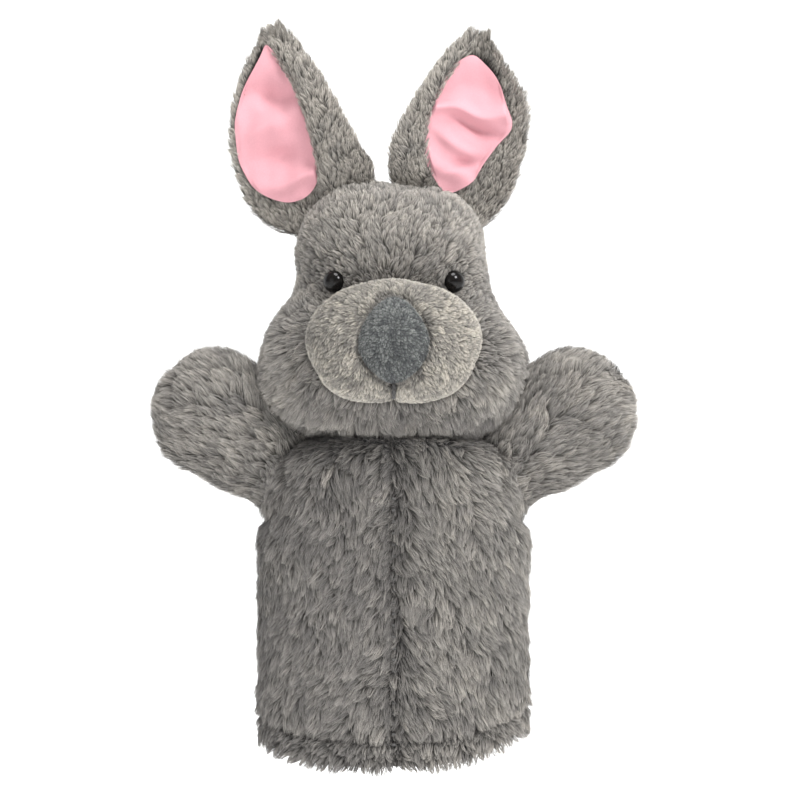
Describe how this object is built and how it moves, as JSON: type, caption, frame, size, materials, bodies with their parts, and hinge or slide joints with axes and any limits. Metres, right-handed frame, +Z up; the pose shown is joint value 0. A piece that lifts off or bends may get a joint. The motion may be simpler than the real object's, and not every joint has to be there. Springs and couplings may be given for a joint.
{
  "type": "rabbit glove puppet",
  "caption": "Plush rabbit glove puppet: an open hand sleeve with a nodding head, folding ears and two arms with finger pockets.",
  "frame": {"origin": "centre of the hand opening, at the lower edge of the hem", "axes": "+Z up from the hand opening to the ears, -Y the way the face looks, +X the puppet's own left"},
  "size_m": [0.2146, 0.104, 0.3376],
  "materials": {
    "grey_long_pile": "matte",
    "grey_short_pile": "matte",
    "nose_plush": "matte",
    "pink_velour": "matte",
    "lining_cloth": "satin",
    "stuffing": "matte",
    "grey_thread": "matte",
    "eye_plastic": "gloss",
    "washer_plastic": "matte",
    "label_tape": "satin"
  },
  "bodies": {
    "sleeve": {"body_front_left": "grey_long_pile", "body_front_right": "grey_long_pile", "body_back": "grey_long_pile", "lining_front": "lining_cloth", "lining_back": "lining_cloth", "hem_seam": "grey_thread", "centre_front_seam": "grey_thread", "side_seam_left": "grey_thread", "side_seam_right": "grey_thread", "care_label": "label_tape"},
    "neck_ring": {"neck_seam": "grey_thread"},
    "neck_lining": {"neck_cuff": "lining_cloth"},
    "head": {"head_side_left": "grey_long_pile", "head_gusset": "grey_long_pile", "head_side_right": "grey_long_pile", "head_stuffing": "stuffing", "finger_tube": "lining_cloth", "muzzle_cover": "grey_short_pile", "muzzle_stuffing": "stuffing", "nose_cover": "nose_plush", "nose_wadding": "stuffing", "mouth_stitch": "grey_thread", "left_eye": "eye_plastic", "right_eye": "eye_plastic", "left_eye_washer": "washer_plastic", "right_eye_washer": "washer_plastic", "ear_tack_left": "grey_thread", "ear_tack_right": "grey_thread"},
    "armhole_left": {"armhole_binding_left": "grey_thread"},
    "arm_left": {"arm_front_left": "grey_long_pile", "arm_back_left": "grey_long_pile", "arm_pocket_left": "lining_cloth", "paw_wadding_left": "stuffing"},
    "ear_left": {"left_ear_back": "grey_long_pile", "left_ear_lining": "pink_velour"},
    "armhole_right": {"armhole_binding_right": "grey_thread"},
    "arm_right": {"arm_front_right": "grey_long_pile", "arm_back_right": "grey_long_pile", "arm_pocket_right": "lining_cloth", "paw_wadding_right": "stuffing"},
    "ear_right": {"right_ear_back": "grey_long_pile", "right_ear_lining": "pink_velour"}
  },
  "joints": [
    {"name": "head_turn", "type": "hinge", "parent": "sleeve", "child": "neck_ring", "pos_m": [0, 0, 0.152], "axis": [0, 0, 1], "range_deg": [-30, 30]},
    {"name": "head_tilt", "type": "hinge", "parent": "neck_ring", "child": "neck_lining", "pos_m": [0, 0, 0.152], "axis": [0, 1, 0], "range_deg": [-10, 10]},
    {"name": "head_nod", "type": "hinge", "parent": "neck_lining", "child": "head", "pos_m": [0, 0, 0.152], "axis": [1, 0, 0], "range_deg": [-20, 20]},
    {"name": "arm_raise_left", "type": "hinge", "parent": "sleeve", "child": "armhole_left", "pos_m": [0.051, 0, 0.132], "axis": [0, 1, 0], "range_deg": [-8, 40]},
    {"name": "arm_swing_left", "type": "hinge", "parent": "armhole_left", "child": "arm_left", "pos_m": [0.051, 0, 0.132], "axis": [-0.6428, 0, 0.766], "range_deg": [-40, 15]},
    {"name": "ear_fold_left", "type": "hinge", "parent": "head", "child": "ear_left", "pos_m": [0.023, 0.004, 0.26], "axis": [0.9686, 0.1392, -0.2059], "range_deg": [-50, 15], "stiffness_Nm_per_rad": 0.02},
    {"name": "arm_raise_right", "type": "hinge", "parent": "sleeve", "child": "armhole_right", "pos_m": [-0.051, 0, 0.132], "axis": [0, 1, 0], "range_deg": [-40, 8]},
    {"name": "arm_swing_right", "type": "hinge", "parent": "armhole_right", "child": "arm_right", "pos_m": [-0.051, 0, 0.132], "axis": [0.6428, 0, 0.766], "range_deg": [-15, 40]},
    {"name": "ear_fold_right", "type": "hinge", "parent": "head", "child": "ear_right", "pos_m": [-0.029, 0.004, 0.256], "axis": [0.8767, -0.3746, 0.3019], "range_deg": [-50, 15], "stiffness_Nm_per_rad": 0.02}
  ]
}
